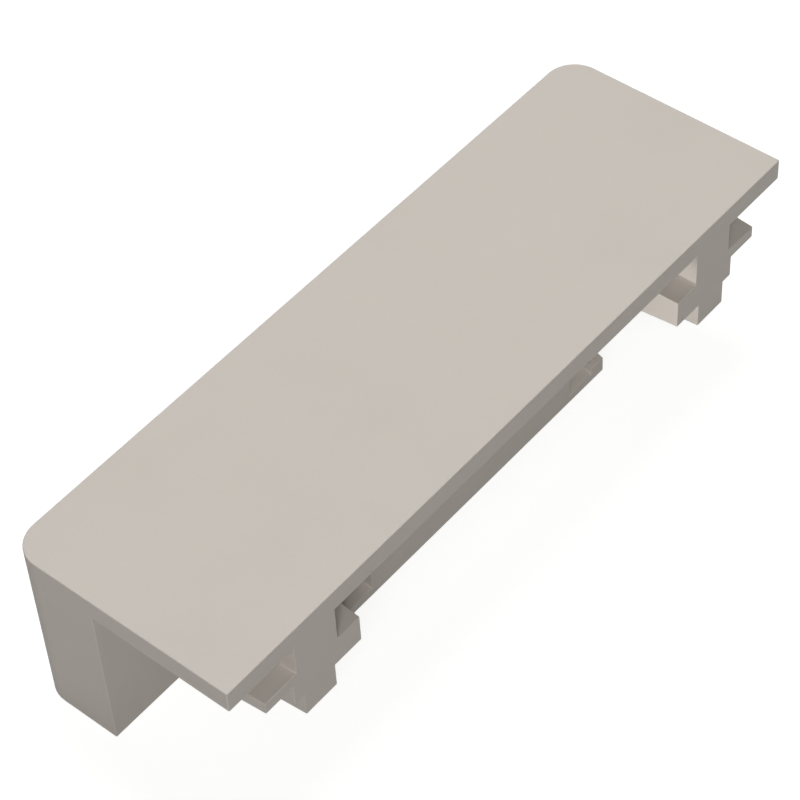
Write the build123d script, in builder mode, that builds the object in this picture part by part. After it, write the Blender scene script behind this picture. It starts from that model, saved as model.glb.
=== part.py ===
from build123d import *
import math
import os

os.makedirs("parts", exist_ok=True)

# All sizes in millimetres, angles in degrees.
# X runs along the cap, Y across it with the deep wall on the plus side, Z up out of the face.

# Face plate
cap_length = 100.0
cap_width = 32.0
cap_depth = 25.0
plate_thickness = 3.0
corner_radius = 4.0
edge_radius = 0.15

# Deep wall along the rounded edge, cored out from below
wall_width = 12.2
wall_skin = 3.5
pocket_depth = 18.0

# Snap latches, one near each end, level with the straight edge of the plate
latch_inset = 13.5
latch_reach = 7.0
draft_angle = 3.0
post_width = 6.7
finger_length = 5.1
finger_height = 1.7
finger_gap = 4.3
bar_heel = 0.7
bar_length = 3.65
bar_height = 4.0
bar_gap = 5.1
nub_width = 5.1
nub_height = 3.5

# Central rib, set in from the straight edge, with a springy foot at each end
rib_inset = 8.0
rib_thickness = 2.0
rib_drop = 18.5
web_length = 37.6
foot_length = 51.0
foot_height = 1.2
foot_slope = 20.0
barb_length = 2.3
barb_height = 1.0

# Derived positions
plate_base = cap_depth - plate_thickness
wall_centre = (cap_width - wall_width) / 2
straight_edge = -cap_width / 2
pocket_radius = max(corner_radius - wall_skin, edge_radius)
post_root = plate_thickness / 4
latch_centre = cap_length / 2 - latch_inset
rib_face = straight_edge + rib_inset
rib_middle = rib_face + rib_thickness / 2
rib_base = plate_base - rib_drop
slope_rise = rib_thickness * math.tan(math.radians(foot_slope))
barb_centre = (foot_length - barb_length) / 2

# Sketch plane of the latches: on the straight edge, local Y is the depth below the plate
latch_plane = Plane(origin=(0, straight_edge, plate_base), x_dir=(1, 0, 0), z_dir=(0, 1, 0))


# Latch at the plus X end; every block widens inwards by the draft angle
with BuildPart() as latch:
    # Post hanging from the plate
    post_height = bar_gap + bar_height / 2
    with BuildSketch(latch_plane):
        with Locations((latch_centre, (post_height - post_root) / 2)):
            Rectangle(post_width, post_height + post_root)
    extrude(amount=latch_reach, taper=-draft_angle)
    # Thin finger pointing to the end of the cap
    finger_span = finger_length + post_width / 2
    with BuildSketch(latch_plane):
        with Locations((latch_centre + finger_span / 2, finger_gap + finger_height / 2)):
            Rectangle(finger_span, finger_height)
    extrude(amount=latch_reach, taper=-draft_angle)
    # Thick bar pointing to the middle, with a short heel under the finger
    bar_inner = post_width / 2 + bar_length
    bar_outer = post_width / 2 + bar_heel
    with BuildSketch(latch_plane):
        with Locations((latch_centre + (bar_outer - bar_inner) / 2, bar_gap + bar_height / 2)):
            Rectangle(bar_inner + bar_outer, bar_height)
    extrude(amount=latch_reach, taper=-draft_angle)
    # Nub below the bar
    nub_span = nub_height + bar_height / 2
    nub_top = bar_gap + bar_height / 2
    with BuildSketch(latch_plane):
        with Locations((latch_centre, nub_top + nub_span / 2)):
            Rectangle(nub_width, nub_span)
    extrude(amount=latch_reach, taper=-draft_angle)

# Central rib
with BuildPart() as rib:
    # Web hanging from the plate
    with BuildSketch(Plane.XY.offset(rib_base)):
        with Locations((0, rib_middle)):
            Rectangle(web_length, rib_thickness)
    extrude(amount=rib_drop)
    # Foot along the lower edge, its top falling towards the straight edge
    with BuildSketch(Plane.YZ):
        with BuildLine():
            Polyline(
                (rib_face, rib_base),
                (rib_face + rib_thickness, rib_base),
                (rib_face + rib_thickness, rib_base + foot_height + slope_rise),
                (rib_face, rib_base + foot_height),
                close=True,
            )
        make_face()
    extrude(amount=foot_length / 2, both=True)
    # Raised barb at each end of the foot
    barb_rise = foot_height + barb_height
    for side in (-1, 1):
        with BuildSketch(Plane.YZ.offset(side * barb_centre)):
            with BuildLine():
                Polyline(
                    (rib_face, rib_base),
                    (rib_face + rib_thickness, rib_base),
                    (rib_face + rib_thickness, rib_base + barb_rise + slope_rise),
                    (rib_face, rib_base + barb_rise),
                    close=True,
                )
            make_face()
        extrude(amount=barb_length / 2, both=True)

# Whole cap
with BuildPart() as end_cap:
    # Face plate, rounded on the wall side and nearly square on the straight side
    with BuildSketch(Plane.XY.offset(plate_base)):
        Rectangle(cap_length, cap_width)
        fillet(vertices().group_by(Axis.Y)[-1], radius=corner_radius)
        fillet(vertices().group_by(Axis.Y)[0], radius=edge_radius)
    extrude(amount=plate_thickness)
    # Softened edge round the face
    fillet(faces().sort_by(Axis.Z)[-1].outer_wire().edges(), radius=edge_radius)
    # Deep wall under the rounded edge
    with BuildSketch(Plane.XY):
        with Locations((0, wall_centre)):
            Rectangle(cap_length, wall_width)
        fillet(vertices().group_by(Axis.Y)[-1], radius=corner_radius)
    extrude(amount=plate_base)
    # Pocket that cores the wall from below
    with BuildSketch(Plane.XY):
        with Locations((0, wall_centre)):
            Rectangle(cap_length - 2 * wall_skin, wall_width - 2 * wall_skin)
        fillet(vertices(), radius=pocket_radius)
    extrude(amount=pocket_depth, mode=Mode.SUBTRACT)
    # Latches and rib
    add(latch.part)
    add(mirror(latch.part, about=Plane.YZ))
    add(rib.part)

end_cap.part.label = "end_cap"
export_step(end_cap.part, "parts/end_cap.step")
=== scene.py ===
import math

import bmesh
import bpy
from mathutils import Matrix, Vector


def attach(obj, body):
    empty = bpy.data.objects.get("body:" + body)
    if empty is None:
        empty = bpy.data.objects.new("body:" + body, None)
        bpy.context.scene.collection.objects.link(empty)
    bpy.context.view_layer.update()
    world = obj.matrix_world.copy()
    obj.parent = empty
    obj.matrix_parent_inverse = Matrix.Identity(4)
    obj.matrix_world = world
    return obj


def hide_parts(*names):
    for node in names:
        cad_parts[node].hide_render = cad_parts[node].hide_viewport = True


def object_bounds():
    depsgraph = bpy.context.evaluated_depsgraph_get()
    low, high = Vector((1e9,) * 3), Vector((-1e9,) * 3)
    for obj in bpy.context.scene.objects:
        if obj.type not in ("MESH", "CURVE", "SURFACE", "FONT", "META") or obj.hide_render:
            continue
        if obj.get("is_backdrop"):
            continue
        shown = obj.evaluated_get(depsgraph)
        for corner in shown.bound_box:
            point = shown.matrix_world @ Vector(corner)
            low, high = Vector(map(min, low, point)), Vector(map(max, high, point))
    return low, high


bl_info = {
    "name": "Profile end cap",
    "version": (1, 0, 0),
    "blender": (4, 5, 0),
    "location": "View3D > Sidebar > End cap",
    "description": "Dresses a moulded end cap for a wide profile and sets it on a pale floor",
    "category": "Object",
}

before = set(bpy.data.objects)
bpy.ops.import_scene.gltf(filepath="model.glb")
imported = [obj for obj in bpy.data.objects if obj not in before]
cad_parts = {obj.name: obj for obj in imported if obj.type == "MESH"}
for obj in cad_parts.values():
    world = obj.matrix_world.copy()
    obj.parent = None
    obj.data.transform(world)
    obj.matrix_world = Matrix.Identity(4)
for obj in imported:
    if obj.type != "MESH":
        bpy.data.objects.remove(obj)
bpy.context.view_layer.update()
MM = 0.001

# Corners nearer than the first are merged, and faces that turn by less than the second are one
SAME_POINT = 0.002 * MM
FLAT_ANGLE = math.radians(0.5)

# Edges that turn by more than the first are rounded, and by more than the second shade sharp
ROUNDED_ANGLE = math.radians(40)
SHARP_ANGLE = math.radians(42)

# Width of one cloud in the colour of the moulding
CLOUD_WIDTH = 15 * MM

# Half the floor's side, and its drop below the foot of the wall, so that they share no plane
FLOOR_REACH = 3.0
FLOOR_DROP = 0.02 * MM

# White of the background, how much of it the floor gives off, and the light of the room
PAPER_WHITE = (1.0, 1.0, 0.985)
PAPER_GLOW = 0.82
ROOM_COLOUR = (0.93, 0.97, 1.0)
ROOM_STRENGTH = 0.02


def linear(hex_colour):
    """sRGB hex, such as c8c1b9, to linear red, green and blue."""
    parts = [int(hex_colour[i : i + 2], 16) / 255 for i in (0, 2, 4)]
    return tuple(p / 12.92 if p <= 0.04045 else ((p + 0.055) / 1.055) ** 2.4 for p in parts)


def rgba(colour):
    """Red, green and blue with full opacity, as a socket takes them."""
    return (colour[0], colour[1], colour[2], 1.0)


class EndCapFinish(bpy.types.PropertyGroup):
    """Sizes and colours of the moulding that someone would change."""

    edge_round: bpy.props.FloatProperty(
        name="Edge rounding",
        description="Radius of the moulded edges that the solid leaves sharp",
        default=0.08 * MM,
        min=0.02 * MM,
        max=0.4 * MM,
        unit="LENGTH",
        precision=5,
    )
    colour: bpy.props.FloatVectorProperty(
        name="Colour",
        description="Warm grey of the coloured granulate",
        default=linear("c8c1b9"),
        size=3,
        min=0.0,
        max=1.0,
        subtype="COLOR",
    )
    cloud_colour: bpy.props.FloatVectorProperty(
        name="Cloud colour",
        description="Slightly deeper grey that clouds the surface where the melt flowed together",
        default=linear("c6bfb7"),
        size=3,
        min=0.0,
        max=1.0,
        subtype="COLOR",
    )
    roughness: bpy.props.FloatProperty(
        name="Roughness",
        description="Roughness of the spark-eroded surface",
        default=0.66,
        min=0.0,
        max=1.0,
        subtype="FACTOR",
    )
    grain: bpy.props.FloatProperty(
        name="Grain",
        description="Width of one pit of the spark-eroded surface",
        default=0.35 * MM,
        min=0.05 * MM,
        max=2 * MM,
        unit="LENGTH",
        precision=5,
    )
    grain_depth: bpy.props.FloatProperty(
        name="Grain depth",
        description="Depth of the pits",
        default=0.012 * MM,
        min=0.0,
        max=0.1 * MM,
        unit="LENGTH",
        precision=6,
    )


class EndCapStage(bpy.types.PropertyGroup):
    """Floor and camera."""

    floor_colour: bpy.props.FloatVectorProperty(
        name="Floor",
        description="Colour of the paper floor",
        default=linear("a0a1a2"),
        size=3,
        min=0.0,
        max=1.0,
        subtype="COLOR",
    )
    lens: bpy.props.FloatProperty(
        name="Lens",
        description="Focal length of the camera",
        default=122.325,
        min=20.0,
        max=300.0,
        unit="CAMERA",
    )
    camera_place: bpy.props.FloatVectorProperty(
        name="Camera place",
        description="Where the camera stands",
        default=(-0.15836, -0.141765, 0.251905),
        size=3,
        subtype="TRANSLATION",
        unit="LENGTH",
    )
    azimuth: bpy.props.FloatProperty(
        name="Azimuth",
        description="Turn of the camera about the vertical, 0 looking along +Y",
        default=math.radians(-47.587),
        subtype="ANGLE",
    )
    elevation: bpy.props.FloatProperty(
        name="Elevation",
        description="Height of the camera above the horizon",
        default=math.radians(48.063),
        subtype="ANGLE",
    )
    roll: bpy.props.FloatProperty(
        name="Roll",
        description="Tilt of the camera about its own axis",
        default=math.radians(-3.812),
        subtype="ANGLE",
    )


def add_node(tree, kind, settings=None, links=None):
    """Adds one node. Settings name its inputs or its own values, links what feeds its inputs."""
    node = tree.nodes.new(kind)
    for key, value in (settings or {}).items():
        if isinstance(key, int) or key in node.inputs:
            node.inputs[key].default_value = value
        else:
            setattr(node, key, value)
    for key, source in (links or {}).items():
        tree.links.new(source, node.inputs[key])
    return node


def moulded_abs(finish):
    """ABS from a spark-eroded mould: soft sheen broken by fine pits, colour faintly clouded."""
    material = bpy.data.materials.new("moulded_abs_warm_grey")
    material.use_nodes = True
    tree = material.node_tree
    tree.nodes.clear()
    place = add_node(tree, "ShaderNodeTexCoord").outputs["Object"]

    # Clouds, where the melt cooled at different speeds
    clouds = add_node(
        tree,
        "ShaderNodeTexNoise",
        {"Scale": 1 / CLOUD_WIDTH, "Detail": 3.0, "Roughness": 0.55},
        {"Vector": place},
    )
    cloud_mask = add_node(
        tree,
        "ShaderNodeMapRange",
        {"From Min": 0.35, "From Max": 0.65, "To Min": 0.0, "To Max": 1.0},
        {"Value": clouds.outputs["Fac"]},
    )
    # Inputs 6 and 7 are the two colours, and output 2 is the mixed one
    clouded = add_node(
        tree,
        "ShaderNodeMix",
        {"data_type": "RGBA", 6: rgba(finish.colour), 7: rgba(finish.cloud_colour)},
        {0: cloud_mask.outputs["Result"]},
    )

    # Pits of the eroded mould. Real ones are about 0.05 mm, drawn coarser so that they show
    pits = add_node(
        tree,
        "ShaderNodeTexNoise",
        {"Scale": 1 / finish.grain, "Detail": 2.0, "Roughness": 0.5},
        {"Vector": place},
    )
    # A pit is a little glossier at its bottom than at its rim
    bottom, rim = finish.roughness - 0.04, finish.roughness + 0.05
    gloss = add_node(
        tree,
        "ShaderNodeMapRange",
        {"From Min": 0.3, "From Max": 0.7, "To Min": bottom, "To Max": rim},
        {"Value": pits.outputs["Fac"]},
    )
    relief = add_node(
        tree,
        "ShaderNodeBump",
        {"Strength": 1.0, "Distance": finish.grain_depth},
        {"Height": pits.outputs["Fac"]},
    )
    skin = add_node(
        tree,
        "ShaderNodeBsdfPrincipled",
        {"Metallic": 0.0, "IOR": 1.52, "Specular IOR Level": 0.3},
        {
            "Base Color": clouded.outputs[2],
            "Roughness": gloss.outputs["Result"],
            "Normal": relief.outputs["Normal"],
        },
    )
    add_node(tree, "ShaderNodeOutputMaterial", {}, {"Surface": skin.outputs["BSDF"]})
    return material


def background_rays(tree):
    """1 for rays that show a background: seen by the camera, in a reflection or through glass."""
    rays = add_node(tree, "ShaderNodeLightPath")
    seen = add_node(
        tree,
        "ShaderNodeMath",
        {"operation": "MAXIMUM"},
        {0: rays.outputs["Is Camera Ray"], 1: rays.outputs["Is Glossy Ray"]},
    )
    shown = add_node(
        tree,
        "ShaderNodeMath",
        {"operation": "MAXIMUM"},
        {0: seen.outputs[0], 1: rays.outputs["Is Transmission Ray"]},
    )
    return shown.outputs[0]


def matt_paper(colour):
    """Matt paper. The camera sees it near white, with the object's soft shadow on it."""
    material = bpy.data.materials.new("matt_paper_floor")
    material.use_nodes = True
    tree = material.node_tree
    tree.nodes.clear()
    seen = background_rays(tree)
    paper = add_node(tree, "ShaderNodeBsdfDiffuse", {"Color": rgba(colour), "Roughness": 0.5})
    white = {"Color": rgba(PAPER_WHITE), "Strength": PAPER_GLOW}
    glow = add_node(tree, "ShaderNodeEmission", white)
    lit = add_node(tree, "ShaderNodeAddShader", {}, {0: paper.outputs[0], 1: glow.outputs[0]})
    either = add_node(
        tree,
        "ShaderNodeMixShader",
        {},
        {"Fac": seen, 1: paper.outputs[0], 2: lit.outputs[0]},
    )
    add_node(tree, "ShaderNodeOutputMaterial", {}, {"Surface": either.outputs[0]})
    return material


def merged_copy(node_name, name):
    """A closed copy of a solid's mesh with its flat faces made whole again."""
    shape = bmesh.new()
    shape.from_mesh(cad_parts[node_name].data)
    bmesh.ops.remove_doubles(shape, verts=shape.verts, dist=SAME_POINT)
    bmesh.ops.dissolve_limit(
        shape,
        angle_limit=FLAT_ANGLE,
        use_dissolve_boundaries=False,
        verts=shape.verts,
        edges=shape.edges,
    )
    mesh = bpy.data.meshes.new(name)
    shape.to_mesh(mesh)
    shape.free()
    return mesh


def apply_modifiers(piece):
    """Turns the piece and its modifiers into one plain mesh."""
    bpy.context.view_layer.update()
    graph = bpy.context.evaluated_depsgraph_get()
    mesh = bpy.data.meshes.new_from_object(piece.evaluated_get(graph))
    piece.modifiers.clear()
    piece.data = mesh


class ENDCAP_OT_moulding(bpy.types.Operator):
    """Make the moulding with its rounded edges and its surface"""

    bl_idname = "endcap.moulding"
    bl_label = "Moulding"

    def execute(self, context):
        finish = context.scene.end_cap_finish
        mesh = merged_copy("end_cap", "moulding")
        piece = bpy.data.objects.new("moulding", mesh)
        context.scene.collection.objects.link(piece)

        rounding = piece.modifiers.new("edge rounding", "BEVEL")
        rounding.width = finish.edge_round
        rounding.segments = 3
        rounding.limit_method = "ANGLE"
        rounding.angle_limit = ROUNDED_ANGLE
        apply_modifiers(piece)

        # Flat faces keep their own normals, and the rounded edges blend into them
        piece.data.shade_smooth()
        piece.data.set_sharp_from_angle(angle=SHARP_ANGLE)
        weight = piece.modifiers.new("flat faces first", "WEIGHTED_NORMAL")
        weight.keep_sharp = True
        weight.weight = 100
        apply_modifiers(piece)

        piece.data.materials.clear()
        piece.data.materials.append(moulded_abs(finish))
        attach(piece, "root")
        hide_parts("end_cap")
        return {"FINISHED"}


def paper_floor(colour):
    """Wide square of paper just under the foot of the wall."""
    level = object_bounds()[0].z - FLOOR_DROP
    signs = ((-1, -1), (1, -1), (1, 1), (-1, 1))
    corners = [(x * FLOOR_REACH, y * FLOOR_REACH, level) for x, y in signs]
    mesh = bpy.data.meshes.new("floor")
    mesh.from_pydata(corners, [], [(0, 1, 2, 3)])
    mesh.materials.append(matt_paper(colour))
    floor = bpy.data.objects.new("floor", mesh)
    bpy.context.scene.collection.objects.link(floor)
    floor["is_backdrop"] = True


def hang(light, place, aim, watts, colour):
    """Stands a lamp at one point and turns it to another. The camera doesn't see it."""
    light.energy = watts
    light.color = colour
    holder = bpy.data.objects.new(light.name, light)
    holder.location = place
    holder.rotation_mode = "QUATERNION"
    holder.rotation_quaternion = (Vector(aim) - Vector(place)).to_track_quat("-Z", "Y")
    holder.visible_camera = False
    bpy.context.scene.collection.objects.link(holder)


def softbox(name, side, place, aim, watts, colour):
    """Square softbox."""
    light = bpy.data.lights.new(name, "AREA")
    light.shape = "SQUARE"
    light.size = side
    hang(light, place, aim, watts, colour)


def snoot(name, radius, cone, place, aim, watts, colour):
    """Small round lamp whose tube lets out a narrow cone of light."""
    light = bpy.data.lights.new(name, "SPOT")
    light.shadow_soft_size = radius
    light.spot_size = cone
    light.spot_blend = 0.5
    hang(light, place, aim, watts, colour)


def room_light():
    """Even light of a room, and plain white where the camera looks past the floor."""
    world = bpy.data.worlds.new("room")
    world.use_nodes = True
    tree = world.node_tree
    tree.nodes.clear()
    seen = background_rays(tree)
    faint = {"Color": rgba(ROOM_COLOUR), "Strength": ROOM_STRENGTH}
    room = add_node(tree, "ShaderNodeBackground", faint)
    white = add_node(tree, "ShaderNodeBackground", {"Color": rgba(PAPER_WHITE), "Strength": 1.0})
    either = add_node(
        tree,
        "ShaderNodeMixShader",
        {},
        {"Fac": seen, 1: room.outputs[0], 2: white.outputs[0]},
    )
    add_node(tree, "ShaderNodeOutputWorld", {}, {"Surface": either.outputs[0]})
    bpy.context.scene.world = world


def photo_camera(stage):
    """Camera at the photograph's angle, turned by azimuth, elevation and roll."""
    data = bpy.data.cameras.new("camera")
    data.lens = stage.lens
    data.clip_start = 0.01
    data.clip_end = 20.0
    camera = bpy.data.objects.new("camera", data)
    bpy.context.scene.collection.objects.link(camera)
    turn, lift = stage.azimuth, stage.elevation
    out = math.cos(lift)
    back = Vector((math.sin(turn) * out, -math.cos(turn) * out, math.sin(lift)))
    right = Vector((0, 0, 1)).cross(back).normalized()
    up = back.cross(right)
    upright = Matrix((right, up, back)).transposed()
    camera.rotation_mode = "QUATERNION"
    camera.rotation_quaternion = (upright @ Matrix.Rotation(stage.roll, 3, "Z")).to_quaternion()
    camera.location = stage.camera_place
    bpy.context.scene.camera = camera


class ENDCAP_OT_stage(bpy.types.Operator):
    """Make the floor, the lamps and the camera"""

    bl_idname = "endcap.stage"
    bl_label = "Stage"

    def execute(self, context):
        stage = context.scene.end_cap_stage
        paper_floor(stage.floor_colour)

        # Lights the face plate
        softbox(
            "overhead",
            side=0.35,
            place=(0.24, 0.22, 0.87),
            aim=(0, 0, 0.02),
            watts=5.45,
            colour=(1.0, 1.0, 0.995),
        )
        # Looks under the plate past the near end
        softbox(
            "low",
            side=0.6,
            place=(-0.73, -0.66, 0.73),
            aim=(0, 0, 0.012),
            watts=8.8,
            colour=(1.0, 0.99, 0.985),
        )
        # Stands under the plate and reaches only the ends of the far latch
        snoot(
            "far latch",
            radius=2 * MM,
            cone=math.radians(17),
            place=(-0.02, -0.0145, 0.0115),
            aim=(0.034, -0.0135, 0.0145),
            watts=0.045,
            colour=(1.0, 0.985, 0.97),
        )

        room_light()
        photo_camera(stage)
        context.scene.view_settings.view_transform = "Standard"
        return {"FINISHED"}


class ENDCAP_PT_panel(bpy.types.Panel):
    """Lists the steps that make the end cap"""

    bl_idname = "ENDCAP_PT_panel"
    bl_label = "End cap"
    bl_space_type = "VIEW_3D"
    bl_region_type = "UI"
    bl_category = "End cap"

    def draw(self, context):
        layout = self.layout
        for name in ("edge_round", "colour", "cloud_colour", "roughness", "grain", "grain_depth"):
            layout.prop(context.scene.end_cap_finish, name)
        layout.operator("endcap.moulding")
        for name in ("floor_colour", "lens", "camera_place", "azimuth", "elevation", "roll"):
            layout.prop(context.scene.end_cap_stage, name)
        layout.operator("endcap.stage")


CLASSES = (EndCapFinish, EndCapStage, ENDCAP_OT_moulding, ENDCAP_OT_stage, ENDCAP_PT_panel)


def register():
    for cls in CLASSES:
        bpy.utils.register_class(cls)
    bpy.types.Scene.end_cap_finish = bpy.props.PointerProperty(type=EndCapFinish)
    bpy.types.Scene.end_cap_stage = bpy.props.PointerProperty(type=EndCapStage)


def unregister():
    del bpy.types.Scene.end_cap_stage
    del bpy.types.Scene.end_cap_finish
    for cls in reversed(CLASSES):
        bpy.utils.unregister_class(cls)


def main():
    register()
    bpy.ops.endcap.moulding()
    bpy.ops.endcap.stage()


if __name__ == "__main__":
    main()
